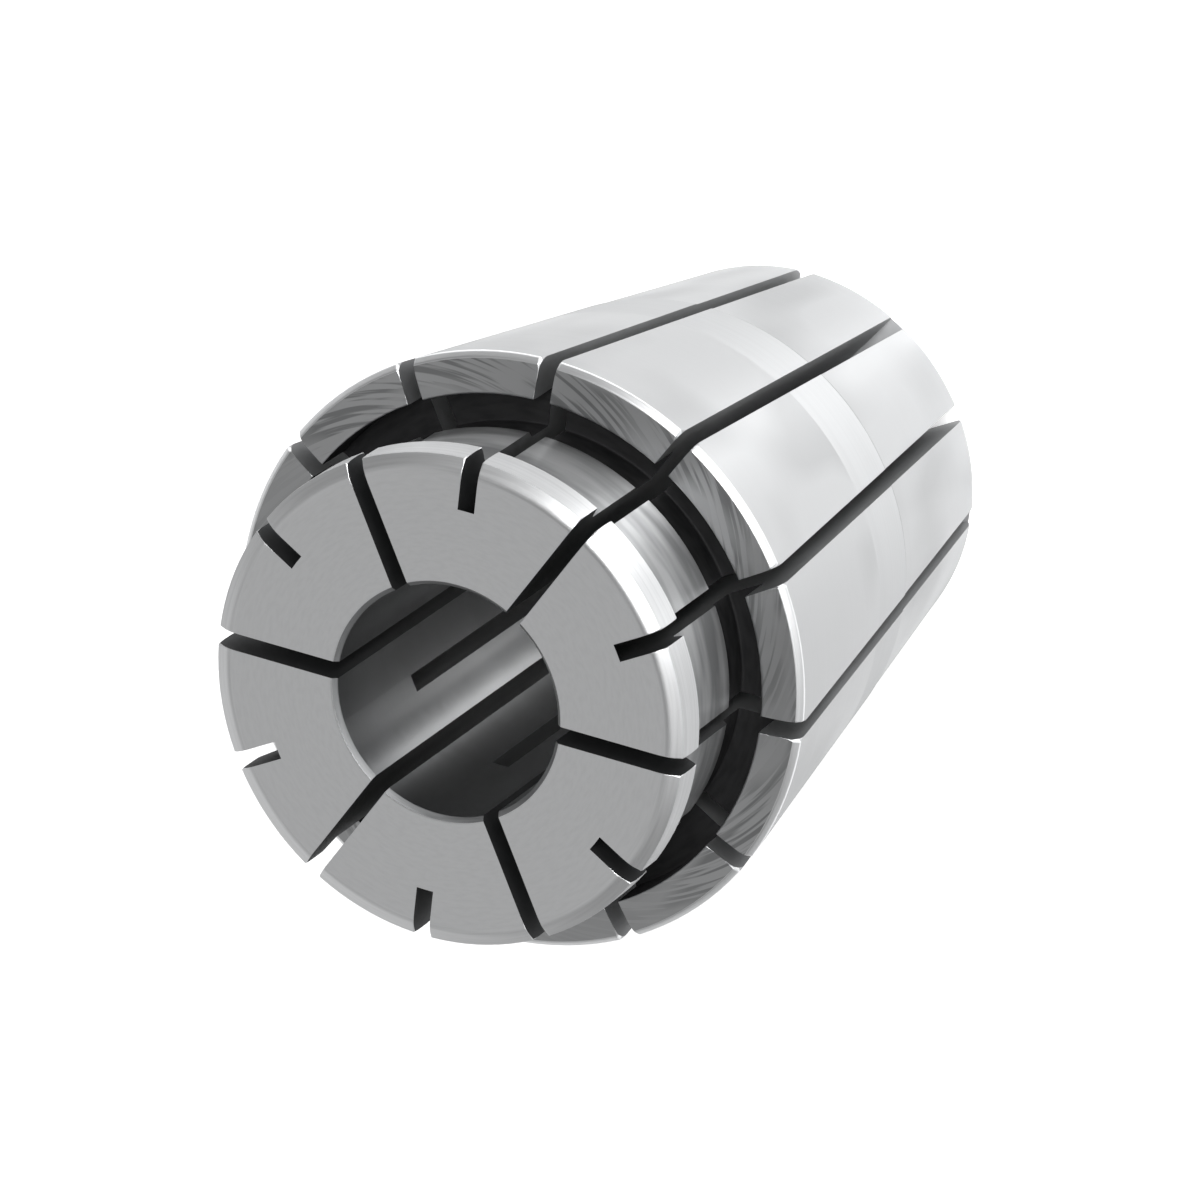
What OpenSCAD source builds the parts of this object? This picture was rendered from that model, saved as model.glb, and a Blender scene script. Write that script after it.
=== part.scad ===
// Slotted spring collet: one tapered steel sleeve that closes evenly on a round tool shank.
// It stands on its small rear end, nose up, with the origin at the centre of the rear face.
// +X passes through the middle of a segment, half way between two slots.
// Places along the axis are given as z, the distance back from the front face.

/* [Body] */
// Length over both end faces
total_l = 34; // [32:0.5:38]
// Diameter of the collar, the large end of the taper
collar_d = 26; // [25:0.5:30]
// Half angle of the taper, in degrees
taper_angle = 8; // [6:0.5:9]
// Length of the ground seat, from the collar's corner back along the axis
seat_l = 15.5; // [10:0.5:20]
// How much lower the taper lies behind the ground seat
relief_h = 0.05; // [0.02:0.01:0.1]
// Bevel round the outside of the rear face
rear_bevel = 0.3; // [0.2:0.1:0.6]

/* [Bore] */
// Diameter of the bore that grips the shank
bore_d = 10; // [5:0.5:12]
// Bevel at both mouths of the bore
bore_bevel = 0.2; // [0.1:0.05:0.4]

/* [Nose] */
// Diameter of the nose, which hooks behind the ring of the clamping nut
nose_d = 21.2; // [20:0.2:22]
// Length of the nose, from the front face to its rear edge
nose_l = 1.8; // [1.4:0.1:2.4]
// Length of the bevel round the front face, along the axis
face_bevel_l = 0.25; // [0.1:0.05:0.4]
// Width of the bevel round the front face, across the axis
face_bevel_w = 0.6; // [0.3:0.1:0.9]

/* [Groove] */
// Depth of the groove floor, the neck, below the nose
groove_depth = 0.75; // [0.4:0.05:1]
// Length of the sloping wall behind the nose
groove_slope_l = 0.4; // [0.2:0.1:0.8]
// Distance from the front face back to the lip of the collar
lip_z = 6.35; // [5:0.05:7.5]
// Width of the ring recess between the neck and the lip
recess_w = 1.4; // [1:0.1:1.6]
// Depth of the ring recess behind the lip, along the axis
recess_l = 1.9; // [1:0.1:2.5]
// How far the recess cuts in under the neck
undercut = 0.3; // [0.1:0.05:0.5]

/* [Collar] */
// Slope of the collar's front face, in degrees from square
collar_face_angle = 10; // [5:1:20]
// Bevel at the collar's corner
collar_bevel = 0.4; // [0.2:0.05:0.6]

/* [Slots] */
// Slots sawn from each end; the two sets alternate
slots_per_end = 6; // [3:1:8]
// Width of a slot
slot_w = 0.75; // [0.4:0.05:1]
// Diameter of the slitting saw, which sets the arc at a slot's blind end
saw_d = 40; // [32:1:60]
// How far the saw reaches in past the wall of the bore
saw_reach = 1; // [0.5:0.1:1.5]
// Length of bore left whole at the front by the slots sawn from the rear
front_web = 6.3; // [4:0.1:8]
// Length of bore left whole at the rear by the slots sawn from the front
rear_web = 7.1; // [4:0.1:9]

/* [Hidden] */
$fn = 180;
// Overrun of a cut past the surface that it leaves through
cut_over = 1;

bore_r = bore_d / 2;
collar_r = collar_d / 2;
nose_r = nose_d / 2;
neck_r = nose_r - groove_depth;
lip_r = neck_r + recess_w;
saw_r = saw_d / 2;

// Place of the collar face's outer edge and of the corner behind its bevel
collar_edge_z = lip_z + (collar_r - collar_bevel - lip_r) * tan(collar_face_angle);
corner_z = collar_edge_z + collar_bevel;
seat_end_z = corner_z + seat_l;
rear_edge_z = total_l - rear_bevel;

// Radius of the ground taper at z
function taper_r(z) = collar_r - (z - corner_z) * tan(taper_angle);

// The half section as [radius, z], from the bore's front mouth out and round to the bore again
front_end = [
    [bore_r + bore_bevel, 0],
    [nose_r - face_bevel_w, 0],
    [nose_r, face_bevel_l],
    [nose_r, nose_l],
    [neck_r, nose_l + groove_slope_l],
];
ring_recess = [
    [neck_r, lip_z],
    [neck_r - undercut, lip_z + undercut],
    [neck_r - undercut, lip_z + recess_l],
    [lip_r, lip_z + recess_l],
    [lip_r, lip_z],
];
taper_side = [
    [collar_r - collar_bevel, collar_edge_z],
    [collar_r, corner_z],
    [taper_r(seat_end_z), seat_end_z],
    [taper_r(seat_end_z) - relief_h, seat_end_z],
    [taper_r(rear_edge_z) - relief_h, rear_edge_z],
];
rear_end = [
    [taper_r(rear_edge_z) - relief_h - rear_bevel, total_l],
    [bore_r + bore_bevel, total_l],
    [bore_r, total_l - bore_bevel],
    [bore_r, bore_bevel],
];

// The turned and bored blank, before it is slotted
module turned_blank() {
    half_section = concat(front_end, ring_recess, taper_side, rear_end);
    rotate_extrude()
        polygon([for (p = half_section) [p[0], total_l - p[1]]]);
}

// One saw cut along +X, open at the rear end and blind at the front.
// The saw runs along the axis and stops where its arc meets the bore web_l short of the front.
module rear_slot(web_l) {
    stop_z = web_l + sqrt(pow(saw_r, 2) - pow(saw_r - saw_reach, 2));
    floor_r = bore_r - saw_reach;
    rotate([90, 0, 0])
        linear_extrude(height = slot_w, center = true)
            union() {
                translate([floor_r, -cut_over])
                    square([collar_r + cut_over - floor_r, total_l - stop_z + cut_over]);
                translate([floor_r + saw_r, total_l - stop_z])
                    circle(r = saw_r);
            }
}

// The same cut turned end for end: open at the front and blind at the rear
module front_slot(web_l) {
    translate([0, 0, total_l])
        mirror([0, 0, 1])
            rear_slot(web_l);
}

// The finished collet
module collet() {
    pitch = 360 / slots_per_end;
    color("silver")
        difference() {
            turned_blank();
            for (i = [0 : slots_per_end - 1]) {
                rotate([0, 0, (i + 1 / 4) * pitch])
                    front_slot(rear_web);
                rotate([0, 0, (i + 3 / 4) * pitch])
                    rear_slot(front_web);
            }
        }
}

collet();
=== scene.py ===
import math

import bmesh
import bpy
import numpy as np
from mathutils import Matrix, Vector


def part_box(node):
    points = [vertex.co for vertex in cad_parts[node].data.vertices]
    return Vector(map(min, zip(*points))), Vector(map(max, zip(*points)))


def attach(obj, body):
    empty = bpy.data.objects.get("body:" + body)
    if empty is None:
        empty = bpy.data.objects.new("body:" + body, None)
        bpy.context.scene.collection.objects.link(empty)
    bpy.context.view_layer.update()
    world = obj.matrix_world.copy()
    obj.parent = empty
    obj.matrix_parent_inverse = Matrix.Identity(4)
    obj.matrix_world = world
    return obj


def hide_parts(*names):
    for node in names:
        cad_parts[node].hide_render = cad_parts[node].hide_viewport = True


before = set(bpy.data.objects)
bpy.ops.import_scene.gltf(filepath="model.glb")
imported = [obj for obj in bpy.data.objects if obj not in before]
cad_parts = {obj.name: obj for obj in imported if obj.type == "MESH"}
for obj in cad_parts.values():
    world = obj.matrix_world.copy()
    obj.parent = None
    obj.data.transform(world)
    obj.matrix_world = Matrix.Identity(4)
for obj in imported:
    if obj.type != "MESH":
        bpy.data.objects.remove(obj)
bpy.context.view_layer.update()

# Sizes of the collet. Lengths are in millimetres until a mesh is written, and z is the
# distance back from the front face, as on a turner's drawing.
MM = 0.001
node_low, node_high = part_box("collet")
TOTAL_L = (node_high.z - node_low.z) / MM
COLLAR_R = (node_high.x - node_low.x) / 2 / MM
BORE_R = 5.0
BORE_BEVEL = 0.2
NOSE_R = 10.6
NOSE_L = 1.8
FACE_BEVEL_L = 0.25
FACE_BEVEL_W = 0.6
GROOVE_DEPTH = 0.75
GROOVE_SLOPE_L = 0.4
NECK_R = NOSE_R - GROOVE_DEPTH
LIP_Z = 6.35
RECESS_W = 1.4
RECESS_L = 1.9
UNDERCUT = 0.3
LIP_R = NECK_R + RECESS_W
COLLAR_FACE_SLOPE = math.tan(math.radians(10))
COLLAR_BEVEL = 0.22
COLLAR_EDGE_Z = LIP_Z + (COLLAR_R - COLLAR_BEVEL - LIP_R) * COLLAR_FACE_SLOPE
CORNER_Z = COLLAR_EDGE_Z + COLLAR_BEVEL
TAPER_SLOPE = math.tan(math.radians(8))
SEAT_L = 15.6
SEAT_END_Z = CORNER_Z + SEAT_L
SEAT_END_R = COLLAR_R - SEAT_L * TAPER_SLOPE
RUBBED_L = 4.1
RELIEF = 0.05
RELIEF_STEP_L = 0.12
REAR_BEVEL = 0.3
REAR_EDGE_Z = TOTAL_L - REAR_BEVEL
REAR_EDGE_R = COLLAR_R - (REAR_EDGE_Z - CORNER_Z) * TAPER_SLOPE - RELIEF
FOOT_R = REAR_EDGE_R - REAR_BEVEL

# Slots: as many from the front as from the rear, in turn. A saw runs along the axis, and
# stops where its arc meets the bore a web's length short of the other end.
SLOTS_PER_END = 6
SLOT_PITCH = 2 * math.pi / SLOTS_PER_END
SLOT_START = SLOT_PITCH / 4
SLOT_HALF = 0.375
SAW_R = 20.0
SAW_REACH = 1.0
FRONT_WEB = 6.3
REAR_WEB = 7.1
SAW_AXIS_R = BORE_R - SAW_REACH + SAW_R
SAW_STOP = math.sqrt(SAW_R ** 2 - (SAW_R - SAW_REACH) ** 2)
FRONT_SAW_Z = TOTAL_L - REAR_WEB - SAW_STOP
REAR_SAW_Z = FRONT_WEB + SAW_STOP

# Broken edge of a slot: how far it reaches from an outer corner, and its profile from the
# slot's wall outwards. Each column of the mesh stands so far out and so deep, as shares of
# the break's size; the first is the slot's middle plane, and the last ends a flat strip.
BREAK_REACH = 0.25
BREAK_OUT = np.array([0, 0, 0.736, 1, 1])
BREAK_DEEP = np.array([0, 1, 0.123, 0, 0])
EDGE_STRIP = 0.02
BREAK_BASE = np.array([0, SLOT_HALF, SLOT_HALF, SLOT_HALF, SLOT_HALF + EDGE_STRIP])

# How finely the body is drawn. Rows run round the collet, at most ROW_STEP apart. Extra
# rows lie at these distances from each rounding, where a stretch has room for them, and
# beside each exit, which is a place where a saw leaves the surface. No other row lies
# nearer than CLEAR_OF_EXIT to an exit, or nearer than LEAST_STEP to the row before it.
ARC_STEPS = 4
ROW_STEP = 0.9
NEAR_ROUNDING = (0.07, 0.16, 0.28, 0.45)
NEAR_ROOM = 0.05
NEAR_EXIT = 0.1
CLEAR_OF_EXIT = 0.03
LEAST_STEP = 0.012
SAME_PLACE = 1e-4
NORMAL_STEP = 0.01
SEARCH_STEPS = 120000
SAW_ARC_STEPS = 14
SEGMENT_STEPS = 9
SHARP_ANGLE = math.radians(34)
MERGE = 0.001 * MM

# Half section: radius, z, how far the corner's rounding reaches, how much the slots'
# edges are broken there, and the finish of the stretch that starts there
SECTION = [
    (BORE_R + BORE_BEVEL, 0, 0.05, 0, "face"),
    (NOSE_R - FACE_BEVEL_W, 0, 0.16, 0.02, "bevel"),
    (NOSE_R, FACE_BEVEL_L, 0.02, 0.05, "nose"),
    (NOSE_R, NOSE_L, 0.10, 0.03, "neck"),
    (NECK_R, NOSE_L + GROOVE_SLOPE_L, 0.15, 0, "neck"),
    (NECK_R, LIP_Z, 0.05, 0, "recess"),
    (NECK_R - UNDERCUT, LIP_Z + UNDERCUT, 0.10, 0, "recess"),
    (NECK_R - UNDERCUT, LIP_Z + RECESS_L, 0.10, 0, "recess"),
    (LIP_R, LIP_Z + RECESS_L, 0.10, 0, "recess"),
    (LIP_R, LIP_Z, 0.10, 0.02, "collar_face"),
    (COLLAR_R - COLLAR_BEVEL, COLLAR_EDGE_Z, 0.06, 0.06, "bevel"),
    (COLLAR_R, CORNER_Z, 0.07, 0.12, "taper"),
    (SEAT_END_R + RUBBED_L * TAPER_SLOPE, SEAT_END_Z - RUBBED_L, 0.02, 0, "rubbed"),
    (SEAT_END_R, SEAT_END_Z, 0.03, 0, "turned"),
    (SEAT_END_R - RELIEF, SEAT_END_Z + RELIEF_STEP_L, 0.03, 0, "taper"),
    (REAR_EDGE_R, REAR_EDGE_Z, 0.12, 0.05, "bevel"),
    (FOOT_R, TOTAL_L, 0.12, 0, "face"),
    (BORE_R + BORE_BEVEL, TOTAL_L, 0.06, 0, "turned"),
    (BORE_R, TOTAL_L - BORE_BEVEL, 0.06, 0, "bore"),
    (BORE_R, BORE_BEVEL, 0.05, 0, "turned"),
]
FINISHES = ["face", "bevel", "nose", "neck", "recess", "collar_face", "taper", "rubbed",
            "turned", "bore", "sawn"]
# Where the middle of each corner's rounding is among the outline's points
CORNER_MIDDLES = np.arange(len(SECTION)) * (ARC_STEPS + 1)


# The turned outline
def rounded_outline():
    """The half section as a closed line. Each corner is a parabola that leaves one
    straight at its reach before the corner and joins the next at its reach after it:
    (1-t)^2 before + 2t(1-t) corner + t^2 after. The line starts in the middle of
    the first corner. Gives its points and the length along it up to each."""
    corners = np.array([row[:2] for row in SECTION], float)
    reach = np.array([row[2] for row in SECTION])[:, None]
    ahead = np.roll(corners, -1, 0) - corners
    ahead /= np.linalg.norm(ahead, axis=1)[:, None]
    before = (corners - np.roll(ahead, 1, 0) * reach)[:, None]
    after = (corners + ahead * reach)[:, None]
    t = np.linspace(0, 1, ARC_STEPS + 1)[:, None]
    arcs = (1 - t) ** 2 * before + 2 * t * (1 - t) * corners[:, None] + t ** 2 * after
    points = np.roll(arcs.reshape(-1, 2), -(ARC_STEPS // 2), 0)
    points = np.vstack([points, points[:1]])
    steps = np.linalg.norm(np.diff(points, axis=0), axis=1)
    return points, np.concatenate([[0], np.cumsum(steps)])


outline, length = rounded_outline()
total = length[-1]


def at(s):
    """The points of the half section, radius and z, at lengths s along its outline."""
    s = np.mod(s, total)
    return np.stack([np.interp(s, length, outline[:, 0]), np.interp(s, length, outline[:, 1])], -1)


def finish_at(s):
    """The finish at lengths s, as its number in FINISHES. It changes in the middle of a
    corner's rounding, except that a bevel has the whole of the roundings at its ends."""
    kinds = np.array([FINISHES.index(row[4]) for row in SECTION])
    bevel = (kinds == FINISHES.index("bevel")).astype(int)
    change = CORNER_MIDDLES + ARC_STEPS // 2 * (np.roll(bevel, 1) - bevel)
    return kinds[np.searchsorted(length[change], s, side="right") - 1]


def break_at(s):
    """How much a slot's edge is broken at lengths s: each corner's break times the bell
    curve exp(-(distance / BREAK_REACH)^2) of the distance to it, added up."""
    apart = np.abs(s[:, None] - length[CORNER_MIDDLES])
    apart = np.minimum(apart, total - apart)
    size = np.array([row[3] for row in SECTION])
    return (size * np.exp(-(apart / BREAK_REACH) ** 2)).sum(1)


# The saws' paths through it
def inside_saw(points, open_front):
    """How far points of the half section lie inside a saw's path, in millimetres,
    negative outside it. The path is straight, from a floor inside the bore outwards,
    up to where the saw stops; beyond that it is the saw's own circle."""
    r, z = points[:, 0], points[:, 1]
    past = z - FRONT_SAW_Z if open_front else REAR_SAW_Z - z
    return np.where(past < 0, r - (BORE_R - SAW_REACH), SAW_R - np.hypot(r - SAW_AXIS_R, past))


def saw_arc(start, end, open_front):
    """The saw's arc between two points of the half section, without its ends: centre +
    radius at angles that go evenly from one point's to the other's."""
    stop = FRONT_SAW_Z if open_front else REAR_SAW_Z
    first = math.atan2(start[1] - stop, SAW_AXIS_R - start[0])
    last = math.atan2(end[1] - stop, SAW_AXIS_R - end[0])
    turn = np.linspace(first, last, SAW_ARC_STEPS + 1)[1:-1]
    return np.stack([SAW_AXIS_R - SAW_R * np.cos(turn), stop + SAW_R * np.sin(turn)], 1)


def saw_exits(open_front):
    """The lengths at which a saw's path crosses the outline, found on a fine run of
    points, and for each a length a little way inside the path."""
    fine = np.linspace(0, total, SEARCH_STEPS + 1)
    inside = inside_saw(at(fine), open_front) > 0
    change = np.nonzero(inside[1:] != inside[:-1])[0]
    exits = (fine[change] + fine[change + 1]) / 2
    return exits, exits + np.where(inside[change + 1], NEAR_EXIT, -NEAR_EXIT)


def nearest(s, places):
    """How far each length s is from the nearest of some places along the outline."""
    return np.abs(s[:, None] - places).min(1)


def row_lengths(saws):
    """The lengths along the outline at which the body has rows: the outline's own points
    with even steps between them, rows close to each rounding, and one where each saw
    leaves the surface, with one beside it. Rows that almost coincide are thinned."""
    gaps = np.diff(length)
    count = np.maximum(1, np.ceil(gaps / ROW_STEP)).astype(int)
    which = np.repeat(np.arange(len(gaps)), count)
    step = np.arange(count.sum()) - np.repeat(np.cumsum(count) - count, count)
    found = length[which] + gaps[which] * step / count[which]
    for near in NEAR_ROUNDING:
        wide = gaps > 2 * near + NEAR_ROOM
        found = np.concatenate([found, length[:-1][wide] + near, length[1:][wide] - near])
    for exits, beside in saws.values():
        found = found[nearest(found, exits) > CLEAR_OF_EXIT]
        found = np.concatenate([found, exits, beside])
    found = np.unique(np.round(found, 6))
    keep = np.concatenate([[True], np.diff(found) > LEAST_STEP])
    for exits, beside in saws.values():
        keep |= nearest(found, exits) < SAME_PLACE
    return found[keep]


# The rows, their places, and how far their columns stand from a slot's middle plane
saws = {open_front: saw_exits(open_front) for open_front in (True, False)}
rows = row_lengths(saws)
between_rows = (rows + np.append(rows[1:], total)) / 2
place = at(rows)
break_size = break_at(rows)[:, None]
offset = BREAK_BASE + BREAK_OUT * break_size


# The slotted body
def spun(points, angle, mirror=1):
    """Points turned about the axis: x cos - y sin, x sin + y cos. Where mirror is -1
    they are first mirrored in the plane y = 0."""
    x, y = points[..., 0], points[..., 1] * mirror
    c, s = math.cos(angle), math.sin(angle)
    return np.stack([x * c - y * s, x * s + y * c, points[..., 2]], -1)


def slot_side(open_front):
    """The columns beside a slot whose middle plane is y = 0, and the rows that the saw
    has cut. At an offset d a row of radius r lies at x = sqrt(r^2 - d^2), y = d. Where
    the edge is broken, the surface has sunk along its own normal, which is the
    outline's direction turned by a quarter."""
    along = at(rows + NORMAL_STEP) - at(rows - NORMAL_STEP)
    along /= np.linalg.norm(along, axis=1)[:, None]
    cut = inside_saw(place, open_front) > 0
    on_exit = nearest(rows, saws[open_front][0]) < SAME_PLACE
    sink = BREAK_DEEP * break_size * (cut & ~on_exit)[:, None]
    r = place[:, :1] - sink * along[:, 1:]
    z = place[:, 1:] + sink * along[:, :1]
    return np.stack([np.sqrt(r ** 2 - offset ** 2), offset, z], -1), cut | on_exit


def segment():
    """The columns between two slots, at even angles from one edge strip to the other."""
    lean = np.arcsin(offset[:, -1:] / place[:, :1])
    share = np.linspace(0, 1, SEGMENT_STEPS + 1)[1:-1]
    angle = lean + (SLOT_PITCH / 2 - 2 * lean) * share
    r = place[:, :1]
    z = np.broadcast_to(place[:, 1:], angle.shape)
    return np.stack([r * np.cos(angle), r * np.sin(angle), z], -1)


def in_order(cut):
    """The rows that a saw has cut, in order round the closed outline. A run that passes
    the outline's start is rolled, so that it has no break."""
    run = np.nonzero(cut)[0]
    jump = np.nonzero(np.diff(run) > 1)[0]
    return np.roll(run, -(jump[0] + 1)) if len(jump) else run


def twelfth():
    """One twelfth of the body: a grid of rows, which follow the half section, and columns,
    which go from the middle of a slot sawn from the front, over one segment, to the
    middle of the next slot, sawn from the rear. Each slot adds the strip that its saw's
    arc sweeps, and a flat wall. Gives the points, the four-sided faces, their finishes
    and the two walls."""
    front_side, front_cut = slot_side(True)
    rear_side, rear_cut = slot_side(False)
    half_pitch = SLOT_PITCH / 2
    grid = np.concatenate([front_side, segment(), spun(rear_side, half_pitch, -1)[:, ::-1]], 1)
    index = np.arange(grid.shape[0] * grid.shape[1]).reshape(grid.shape[:2])
    after = np.roll(index, -1, 0)
    quads = np.stack([index[:, :-1], index[:, 1:], after[:, 1:], after[:, :-1]], -1)
    solid = np.ones(quads.shape[:2], bool)
    solid[:, 0] = inside_saw(at(between_rows), True) <= 0
    solid[:, -1] = inside_saw(at(between_rows), False) <= 0
    finish = np.broadcast_to(finish_at(between_rows)[:, None], solid.shape)

    points = [grid.reshape(-1, 3)]
    faces = [quads[solid]]
    finishes = [finish[solid]]
    walls = []
    used = index.size
    # each saw with the rows that it has cut, and the columns at its middle plane and wall
    for open_front, cut, middle_column, wall_column in (
        (True, front_cut, 0, 1),
        (False, rear_cut, -1, -2),
    ):
        run = in_order(cut)
        first, last = run[0], run[-1]
        arc = saw_arc(place[last], place[first], open_front)
        rims = []
        for y, column in ((SLOT_HALF, wall_column), (0, middle_column)):
            rim = np.insert(arc, 1, y, axis=1)
            points.append(rim if open_front else spun(rim, half_pitch, -1))
            added = used + np.arange(len(rim))
            rims.append(np.concatenate([[index[last, column]], added, [index[first, column]]]))
            used += len(rim)
        at_wall, at_middle = rims
        walls.append(np.concatenate([index[run, wall_column], at_wall[1:-1]]))
        faces.append(np.stack([at_wall[:-1], at_wall[1:], at_middle[1:], at_middle[:-1]], -1))
        finishes.append(np.full(len(faces[-1]), FINISHES.index("sawn")))
    return np.concatenate(points), np.concatenate(faces), np.concatenate(finishes), walls


def collet_mesh():
    """The slotted body: the twelfth and its mirror image, turned round the axis by each
    pitch, with doubled points merged. Only edges bent by more than SHARP_ANGLE are sharp."""
    points, quads, finishes, walls = twelfth()
    points[:, 2] = TOTAL_L - points[:, 2]
    turns = SLOT_START + SLOT_PITCH * np.arange(SLOTS_PER_END)
    copies = [spun(points, turn, mirror) for turn in turns for mirror in (1, -1)]
    starts = len(points) * np.arange(len(copies))
    faces = (quads + starts[:, None, None]).reshape(-1, 4).tolist()
    kinds = np.tile(finishes, len(copies))
    faces += [(wall + start).tolist() for start in starts for wall in walls]
    kinds = np.append(kinds, np.full(len(faces) - len(kinds), FINISHES.index("sawn")))
    mesh = bpy.data.meshes.new("collet_body")
    mesh.from_pydata((np.concatenate(copies) * MM).tolist(), [], faces)
    mesh.polygons.foreach_set("material_index", kinds.astype(np.int32))
    work = bmesh.new()
    work.from_mesh(mesh)
    bmesh.ops.remove_doubles(work, verts=work.verts, dist=MERGE)
    bmesh.ops.delete(work, geom=[v for v in work.verts if not v.link_faces], context="VERTS")
    bmesh.ops.recalc_face_normals(work, faces=work.faces)
    work.to_mesh(mesh)
    work.free()
    mesh.polygons.foreach_set("use_smooth", np.ones(len(mesh.polygons), bool))
    mesh.set_sharp_from_angle(angle=SHARP_ANGLE)
    return mesh


# Materials: the radius at which the surface is rolled out, the share by which the grain
# moves the roughness, the quarter turn that lays streaks along the axis, the slant of the
# hand-ground marks in degrees, and the depths over which the painted shade in the slots
# and the painted light in the bore fade
UNROLL_R = 10.0
GLOSS_SWAY = 0.05
STREAKS_ALONG = 0.25
MARK_SLANT = 23.6
SLOT_SHADE_Z = (0.5, 12.0)
MOUTH_L = 12.0


def colour(code):
    """A six-digit sRGB hex colour as linear light with full alpha."""
    c = np.array([int(code[i:i + 2], 16) for i in (0, 2, 4)]) / 255
    c = np.where(c <= 0.04045, c / 12.92, ((c + 0.055) / 1.055) ** 2.4)
    return (*c.tolist(), 1.0)


def add(tree, kind, settings=None, **sockets):
    """Adds a node. Settings are its own properties. A socket, named by its label or as i
    and its number, takes a value, an output, or a node, whose first live output is linked."""
    made = tree.nodes.new(kind)
    for name, value in (settings or {}).items():
        setattr(made, name, value)
    for name, value in sockets.items():
        socket = made.inputs[int(name[1:]) if name[1:].isdigit() else name.replace("_", " ")]
        if isinstance(value, bpy.types.Node):
            value = next(output for output in value.outputs if output.enabled)
        if isinstance(value, bpy.types.NodeSocket):
            tree.links.new(value, socket)
        else:
            socket.default_value = value
    return made


def new_material(name):
    """A new material with an empty node tree, and that tree."""
    material = bpy.data.materials.new(name)
    material.use_nodes = True
    material.node_tree.nodes.clear()
    return material, material.node_tree


def unrolled(tree):
    """The surface rolled out flat, in millimetres: X is the way round, the angle times
    UNROLL_R, Y is the radius and Z the height. The angle starts in a slot, where its
    jump can't be seen."""
    place = add(tree, "ShaderNodeTexCoord").outputs["Object"]
    turned = add(tree, "ShaderNodeMapping", Vector=place,
                 Rotation=(0, 0, -SLOT_START), Scale=(1 / MM,) * 3)
    parts = add(tree, "ShaderNodeSeparateXYZ", Vector=turned).outputs
    angle = add(tree, "ShaderNodeMath", {"operation": "ARCTAN2"}, i0=parts["Y"], i1=parts["X"])
    around = add(tree, "ShaderNodeMath", {"operation": "MULTIPLY"}, i0=angle, i1=UNROLL_R)
    flat = add(tree, "ShaderNodeCombineXYZ", X=parts["X"], Y=parts["Y"])
    radius = add(tree, "ShaderNodeVectorMath", {"operation": "LENGTH"}, i0=flat).outputs["Value"]
    return add(tree, "ShaderNodeCombineXYZ", X=around, Y=radius, Z=parts["Z"])


def grains(tree, place, size, detail=3.0, slant=0.0, shift=0.0):
    """Noise whose grains are so many millimetres round, out and along. slant leans them
    away from the ring, in degrees, and shift moves the pattern round."""
    mapped = add(tree, "ShaderNodeMapping", {"vector_type": "TEXTURE"}, Vector=place,
                 Location=(shift, 0, 0), Rotation=(0, 0, math.radians(slant)), Scale=size)
    return add(tree, "ShaderNodeTexNoise", Vector=mapped, Scale=1.0, Detail=detail)


def steel(name, tone, dark, roughness, grain, depth, spread=0.0, shade=None):
    """Spring steel: a metal whose colour runs from dark to tone. Its grains are so many
    millimetres round, out and along; they move the roughness by a twentieth and are a
    bump of that depth in millimetres. shade makes the share of the tone; without it the
    grain does. spread is how much wider a reflection is drawn out along the axis than
    across it, as by marks that run round."""
    material, tree = new_material(name)
    place = unrolled(tree)
    # this noise lies mostly between 0.3 and 0.7
    marks = grains(tree, place, grain)
    if shade:
        share = shade(tree, place)
    else:
        share = add(tree, "ShaderNodeMapRange", Value=marks, From_Min=0.3, From_Max=0.6)
    tint = add(tree, "ShaderNodeMix", {"data_type": "RGBA"},
               Factor=share, i6=colour(dark), i7=colour(tone))
    gloss = add(tree, "ShaderNodeMapRange", Value=marks, From_Min=0.3, From_Max=0.7,
                To_Min=roughness * (1 - GLOSS_SWAY), To_Max=roughness * (1 + GLOSS_SWAY))
    bump = add(tree, "ShaderNodeBump", Strength=1.0, Distance=depth * MM, Height=marks)
    surface = add(tree, "ShaderNodeBsdfPrincipled", Metallic=1.0, Base_Color=tint,
                  Roughness=gloss, Normal=bump)
    if spread:
        ring = add(tree, "ShaderNodeTangent", {"direction_type": "RADIAL", "axis": "Z"})
        surface.inputs["Anisotropic"].default_value = spread
        surface.inputs["Anisotropic Rotation"].default_value = STREAKS_ALONG
        tree.links.new(ring.outputs["Tangent"], surface.inputs["Tangent"])
    add(tree, "ShaderNodeOutputMaterial", Surface=surface)
    return material


def slanting_marks(tree, place):
    """Marks of grinding by hand, a fifth of a millimetre wide, that run inwards at
    MARK_SLANT degrees to the ring. A slower noise gathers them in groups: outside a
    group it lifts the marks out."""
    marks = grains(tree, place, (4.0, 0.2, 4.0), 2.0, slant=MARK_SLANT)
    groups = grains(tree, place, (4.0, 1.7, 3.0), 1.0, shift=7.0)
    clear = add(tree, "ShaderNodeMapRange", Value=marks, From_Min=0.42, From_Max=0.52)
    lifted = add(tree, "ShaderNodeMapRange", Value=groups, From_Min=0.42, From_Max=0.58,
                 To_Min=0.9, To_Max=0.15)
    return add(tree, "ShaderNodeMath", {"operation": "MAXIMUM"}, i0=clear, i1=lifted)


def soft_bands(tree, place):
    """Soft bands round the neck, about a millimetre wide, where the turning tool has
    rubbed."""
    bands = grains(tree, place, (6.0, 3.0, 0.9), 2.0, slant=4.0, shift=3.0)
    return add(tree, "ShaderNodeMapRange", Value=bands, From_Min=0.35, From_Max=0.65)


def soft_clouds(tree, place):
    """Soft clouds, longest along the taper, where its fine grind reflects a little less."""
    clouds = grains(tree, place, (3.5, 3.5, 9.0), 1.0, shift=5.0)
    return add(tree, "ShaderNodeMapRange", Value=clouds, From_Min=0.36, From_Max=0.56)


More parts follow.
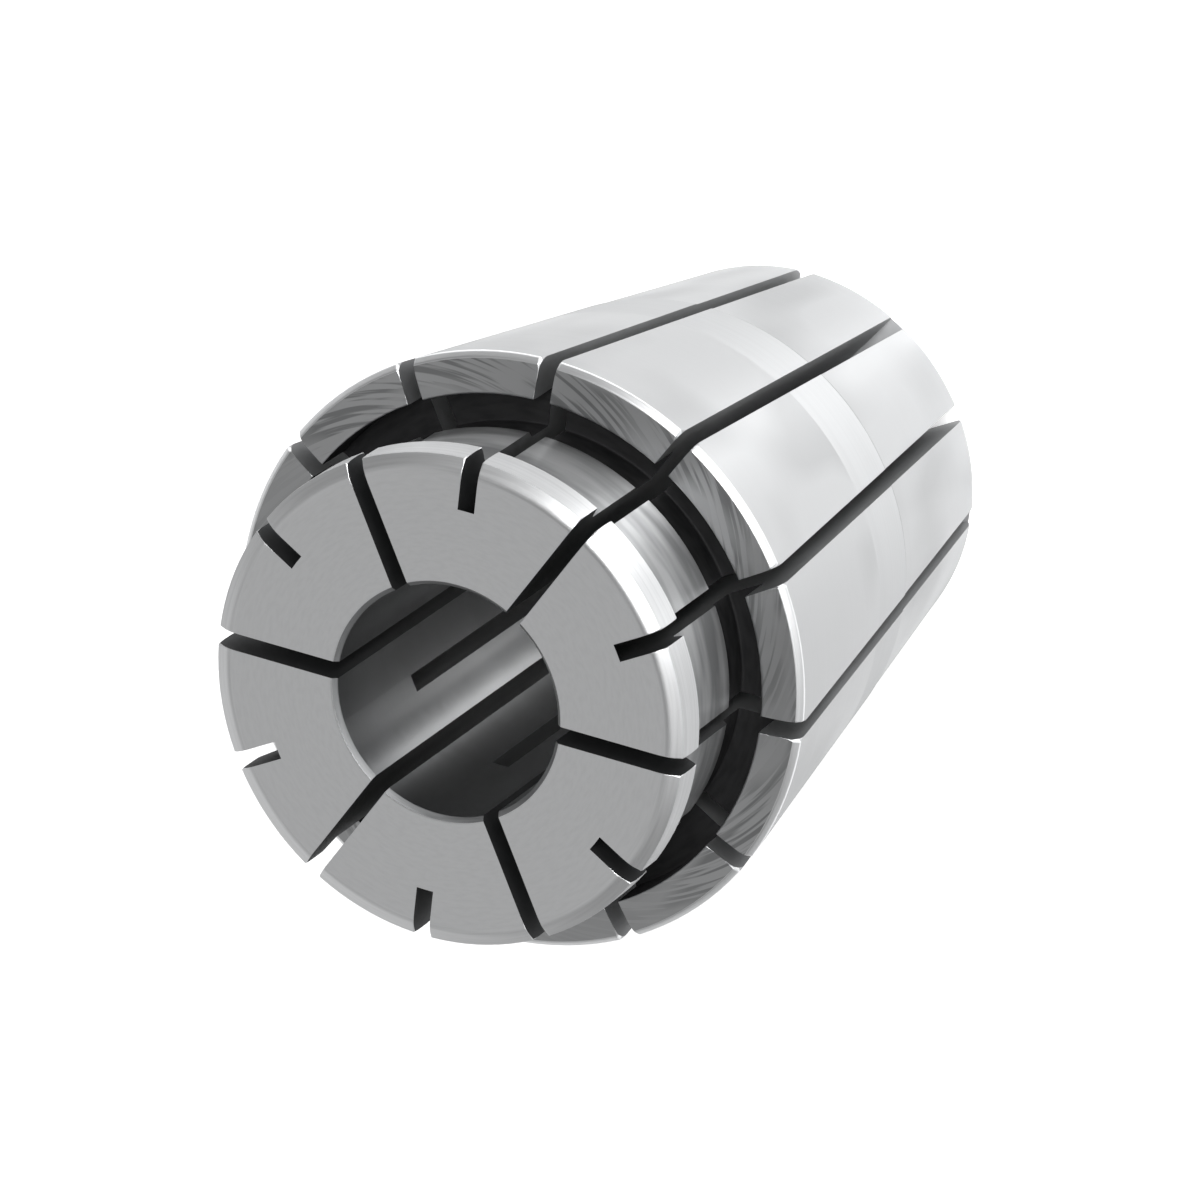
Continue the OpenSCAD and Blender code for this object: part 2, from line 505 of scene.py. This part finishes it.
def painted_slot_shade(tree, place):
    """Painted shade in the slots: 0 in their walls at the front face, which are coloured
    nearly black there as shade, rising to 1 over SLOT_SHADE_Z behind it."""
    height = add(tree, "ShaderNodeSeparateXYZ", Vector=place).outputs["Z"]
    return add(tree, "ShaderNodeMapRange", Value=height,
               From_Min=TOTAL_L - SLOT_SHADE_Z[0], From_Max=TOTAL_L - SLOT_SHADE_Z[1])


def painted_bore_light(tree, place):
    """Painted light and shade in the bore: 0 at both its mouths, rising to 1 at MOUTH_L
    inside it, so that it is coloured darker at the mouths and brighter deep inside.
    """
    height = add(tree, "ShaderNodeSeparateXYZ", Vector=place).outputs["Z"]
    apart = add(tree, "ShaderNodeMath", {"operation": "SUBTRACT"}, i0=height, i1=TOTAL_L / 2)
    apart = add(tree, "ShaderNodeMath", {"operation": "ABSOLUTE"}, i0=apart)
    return add(tree, "ShaderNodeMapRange", Value=apart,
               From_Min=TOTAL_L / 2, From_Max=TOTAL_L / 2 - MOUTH_L)


# All is one hardened spring steel, and the finish is what the eye sees. Real grinding and
# turning marks are some 0.02 mm wide. They are drawn 0.1 to 0.5 mm wide, because finer
# ones wouldn't show in a picture of the whole collet.
materials = {
    # Surface-ground end faces: an even satin grey with hardly any grain
    "face": steel("spring_steel_face_ground", tone="EDEEEF", dark="E7E8E9", roughness=0.3,
                  grain=(0.7, 0.17, 0.17), depth=0.0001),
    # Bevels ground with the work turning: bright rings that catch the lamps
    "bevel": steel("spring_steel_bevel_ground", tone="F2F3F4", dark="E9EAEB", roughness=0.33,
                   grain=(3, 0.11, 0.11), depth=0.0001),
    # Cylindrical grinding, marks round the nose: each lamp is a soft, short streak along it
    "nose": steel("spring_steel_nose_ground", tone="DFE0E1", dark="D3D4D5", roughness=0.42,
                  grain=(7, 0.11, 0.11), depth=0.0002, spread=1.0),
    # Turned and left as it was: darker than ground steel, with bands and streaks
    "neck": steel("spring_steel_neck_turned", tone="B4B5B6", dark="828384", roughness=0.42,
                  grain=(10, 0.12, 0.12), depth=0.0004, spread=1.0, shade=soft_bands),
    # Painted shade: the recess behind the neck, under the collar's lip, is coloured near
    # black, dull and almost without reflections, where it lies in shade
    "recess": steel("spring_steel_recess_painted_shade", tone="484849", dark="3C3C3D", roughness=0.75,
                    grain=(1, 0.3, 0.3), depth=0.001),
    # Ground by hand after hardening: grey, with dark slanting marks in groups
    "collar_face": steel("spring_steel_collar_face_ground", tone="C4C5C6", dark="8C8D8E", roughness=0.32,
                         grain=(0.5, 0.2, 0.2), depth=0.0001, shade=slanting_marks),
    # The seat's fine cylindrical grind: bright, with straight streaks along the taper
    # where a lamp stands, and soft clouds
    "taper": steel("spring_steel_taper_ground", tone="C3C4C5", dark="B6B7B8", roughness=0.315,
                   grain=(10, 0.12, 0.12), depth=0.0001, spread=0.985, shade=soft_clouds),
    # Rubbed by the holder where the seat ends: paler and duller, so it shows as a belt
    "rubbed": steel("spring_steel_seat_end_rubbed", tone="CBCCCD", dark="C6C7C8", roughness=0.5,
                    grain=(10, 0.12, 0.12), depth=0.0001, spread=0.8),
    # Small edges left as turned: mid grey and dull, so they draw a fine line
    "turned": steel("spring_steel_edges_turned", tone="9A9B9C", dark="88898A", roughness=0.6,
                    grain=(3, 0.2, 0.2), depth=0.0002),
    # Honed to grip the shank: bright streaks along the bore, and painted light and shade
    # that colour it darker towards its mouths and brighter deep inside
    "bore": steel("spring_steel_bore_honed", tone="CECFD0", dark="6E6F70", roughness=0.41,
                  grain=(5, 0.17, 0.17), depth=0.00005, spread=1.0, shade=painted_bore_light),
    # As the slitting saw left it: rough and without shine; painted shade makes it nearly
    # black at the face
    "sawn": steel("spring_steel_slot_sawn", tone="A8A9AA", dark="4C4D4E", roughness=0.65,
                  grain=(0.5, 0.5, 0.5), depth=0.001, shade=painted_slot_shade),
}

body = bpy.data.objects.new("collet_dressed", collet_mesh())
bpy.context.scene.collection.objects.link(body)
for finish_name in FINISHES:
    body.data.materials.append(materials[finish_name])
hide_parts("collet")
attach(body, "root")

# Floor, world and lamps. Glows and levels are shader strengths, where 1 is white, and
# the studio's own lengths are in metres. The camera looks from +X, so -X is behind. In
# the metal the floor and the sky fall off to both sides and behind, to a share of them.
FLOOR_SIDE = 6.0
FLOOR_GLOW = 0.84
SIDE_GLOW = 0.5
BEHIND_SHARE = 0.3
SIDE_Y = (-0.03, 0.0)
BEHIND_X = (-0.03, -0.005)
# The studio in the metal: height of the direction, from 0 level to 1 upright, and level
SKY = [(0.26, 1.0), (0.45, 0.75), (0.6, 0.38), (0.76, 0.4), (0.85, 0.6), (0.95, 0.08)]
SIDE_SKY = (0.25, 0.75)
SIDE_SKY_SHARE = 0.4
BEHIND_SKY = (-0.95, -0.6)
BEHIND_SKY_SHARE = 0.6
FILL_LEVEL = 0.25
# Softboxes: name, azimuth and elevation in degrees, width, height and radiance
SOFTBOX_DISTANCE = 0.9
SOFTBOXES = [
    ("right_softbox", 18, 50, 0.2, 1.0, 9.0),
    ("left_softbox", -23, 52, 0.12, 0.9, 3.8),
    ("fill_softbox", -50, 45, 0.7, 0.9, 0.5),
]


def studio_floor_material():
    """White floor paint with a glow that the camera, the metal and glass see, and that
    lights nothing. It stops under the collet, so the bore and the slots stay dark
    inside. In the metal it is dimmer beside the collet and behind it."""
    material, tree = new_material("studio_floor_white")
    paint = add(tree, "ShaderNodeBsdfDiffuse", Color=colour("F0F0F0"))
    ray = add(tree, "ShaderNodeLightPath").outputs
    seen = add(tree, "ShaderNodeMath", {"operation": "ADD"},
               i0=ray["Is Camera Ray"], i1=ray["Is Glossy Ray"])
    seen = add(tree, "ShaderNodeMath", {"operation": "ADD", "use_clamp": True},
               i0=seen, i1=ray["Is Transmission Ray"])
    place = add(tree, "ShaderNodeTexCoord").outputs["Object"]
    apart = add(tree, "ShaderNodeVectorMath", {"operation": "LENGTH"}, i0=place).outputs["Value"]
    open_floor = add(tree, "ShaderNodeMapRange", Value=apart,
                     From_Min=BORE_R * MM, From_Max=FOOT_R * MM)
    ground = add(tree, "ShaderNodeSeparateXYZ", Vector=place).outputs
    beside = add(tree, "ShaderNodeMapRange", Value=ground["Y"],
                 From_Min=SIDE_Y[0], From_Max=SIDE_Y[1], To_Min=SIDE_GLOW, To_Max=FLOOR_GLOW)
    behind = add(tree, "ShaderNodeMapRange", Value=ground["X"],
                 From_Min=BEHIND_X[0], From_Max=BEHIND_X[1], To_Min=BEHIND_SHARE, To_Max=1.0)
    in_metal = add(tree, "ShaderNodeMath", {"operation": "MULTIPLY"}, i0=beside, i1=behind)
    level = add(tree, "ShaderNodeMix", Factor=ray["Is Glossy Ray"], i2=FLOOR_GLOW, i3=in_metal)
    level = add(tree, "ShaderNodeMath", {"operation": "MULTIPLY"}, i0=open_floor, i1=level)
    level = add(tree, "ShaderNodeMath", {"operation": "MULTIPLY"}, i0=seen, i1=level)
    glow = add(tree, "ShaderNodeEmission", Color=(1, 1, 1, 1), Strength=level)
    both = add(tree, "ShaderNodeAddShader", i0=paint, i1=glow)
    add(tree, "ShaderNodeOutputMaterial", Surface=both)
    return material


def studio_floor():
    """A flat square floor, centred under the collet."""
    h = FLOOR_SIDE / 2
    mesh = bpy.data.meshes.new("studio_floor")
    mesh.from_pydata([(-h, -h, 0), (h, -h, 0), (h, h, 0), (-h, h, 0)], [], [(0, 1, 2, 3)])
    mesh.materials.append(studio_floor_material())
    floor = bpy.data.objects.new("studio_floor", mesh)
    bpy.context.scene.collection.objects.link(floor)


def studio_world():
    """White to the camera. In the metal it is a studio, white at floor level, grey above
    and dark overhead, and darker to both sides and far behind. As plain light it is dim."""
    world = bpy.data.worlds.new("studio")
    world.use_nodes = True
    tree = world.node_tree
    tree.nodes.clear()
    ray = add(tree, "ShaderNodeLightPath").outputs
    seen = add(tree, "ShaderNodeMath", {"operation": "ADD", "use_clamp": True},
               i0=ray["Is Camera Ray"], i1=ray["Is Transmission Ray"])
    place = add(tree, "ShaderNodeTexCoord").outputs["Generated"]
    direction = add(tree, "ShaderNodeSeparateXYZ", Vector=place).outputs
    sideways = add(tree, "ShaderNodeMath", {"operation": "ABSOLUTE"}, i0=direction["Y"])
    sideways = add(tree, "ShaderNodeMapRange", Value=sideways,
                   From_Min=SIDE_SKY[0], From_Max=SIDE_SKY[1], To_Min=1.0, To_Max=SIDE_SKY_SHARE)
    behind = add(tree, "ShaderNodeMapRange", Value=direction["X"],
                 From_Min=BEHIND_SKY[0], From_Max=BEHIND_SKY[1], To_Min=BEHIND_SKY_SHARE, To_Max=1.0)
    dimmed = add(tree, "ShaderNodeMath", {"operation": "MULTIPLY"}, i0=sideways, i1=behind)
    sky = add(tree, "ShaderNodeValToRGB", Fac=direction["Z"])
    stops = sky.color_ramp.elements
    for position, _ in SKY[1:-1]:
        stops.new(position)
    for stop, (position, level) in zip(stops, SKY):
        stop.position = position
        stop.color = (level, level, level, 1)
    sky = add(tree, "ShaderNodeVectorMath", {"operation": "SCALE"}, i0=sky, Scale=dimmed)
    tint = add(tree, "ShaderNodeMix", {"data_type": "RGBA"}, Factor=seen, i6=sky, i7=(1, 1, 1, 1))
    mirrored = add(tree, "ShaderNodeMath", {"operation": "ADD", "use_clamp": True},
                   i0=seen, i1=ray["Is Glossy Ray"])
    strength = add(tree, "ShaderNodeMapRange", Value=mirrored, To_Min=FILL_LEVEL, To_Max=1.0)
    back = add(tree, "ShaderNodeBackground", Color=tint, Strength=strength)
    add(tree, "ShaderNodeOutputWorld", Surface=back)
    return world


def away_from_collet(azimuth, elevation):
    """The unit vector of a direction in degrees: cos a cos e, sin a cos e, sin e."""
    a, e = math.radians(azimuth), math.radians(elevation)
    return Vector((math.cos(a) * math.cos(e), math.sin(a) * math.cos(e), math.sin(e)))


def softbox(name, azimuth, elevation, width, height, radiance):
    """A softbox that looks at the collet's middle from that direction, as bright all
    over as radiance says: its power is radiance times pi times its area."""
    away = away_from_collet(azimuth, elevation)
    lamp = bpy.data.lights.new(name, "AREA")
    lamp.shape = "RECTANGLE"
    lamp.size = width
    lamp.size_y = height
    lamp.energy = radiance * math.pi * width * height
    made = bpy.data.objects.new(name, lamp)
    made.location = Vector((0, 0, TOTAL_L * MM / 2)) + away * SOFTBOX_DISTANCE
    made.rotation_euler = away.to_track_quat("Z", "Y").to_euler()
    bpy.context.scene.collection.objects.link(made)


studio_floor()
bpy.context.scene.world = studio_world()
for box in SOFTBOXES:
    softbox(*box)

# Camera: where it stands, what it aims at, and its turn about its own line of sight
VIEW_AZIMUTH = 1.423
VIEW_ELEVATION = 58.441
VIEW_ROLL = math.radians(-125.265)
VIEW_AIM = Vector((0.006, -0.233, 19.541)) * MM
VIEW_DISTANCE = 342.58 * MM
LENS = 243.0
SENSOR = 36.0


def photo_camera():
    """A camera at the photograph's viewing angle. Its level right and up are turned by
    the roll: right = level right cos + level up sin, and up is square to it."""
    data = bpy.data.cameras.new("photo_camera")
    data.lens = LENS
    data.sensor_width = SENSOR
    data.clip_start = 0.01
    data.clip_end = 50.0
    away = away_from_collet(VIEW_AZIMUTH, VIEW_ELEVATION)
    level_right = (-away).cross(Vector((0, 0, 1))).normalized()
    level_up = level_right.cross(-away)
    right = level_right * math.cos(VIEW_ROLL) + level_up * math.sin(VIEW_ROLL)
    turn = Matrix((right, away.cross(right), away)).transposed().to_4x4()
    camera = bpy.data.objects.new("photo_camera", data)
    camera.matrix_world = Matrix.Translation(VIEW_AIM + away * VIEW_DISTANCE) @ turn
    bpy.context.scene.collection.objects.link(camera)
    return camera


bpy.context.scene.camera = photo_camera()
bpy.context.scene.view_settings.view_transform = "Standard"
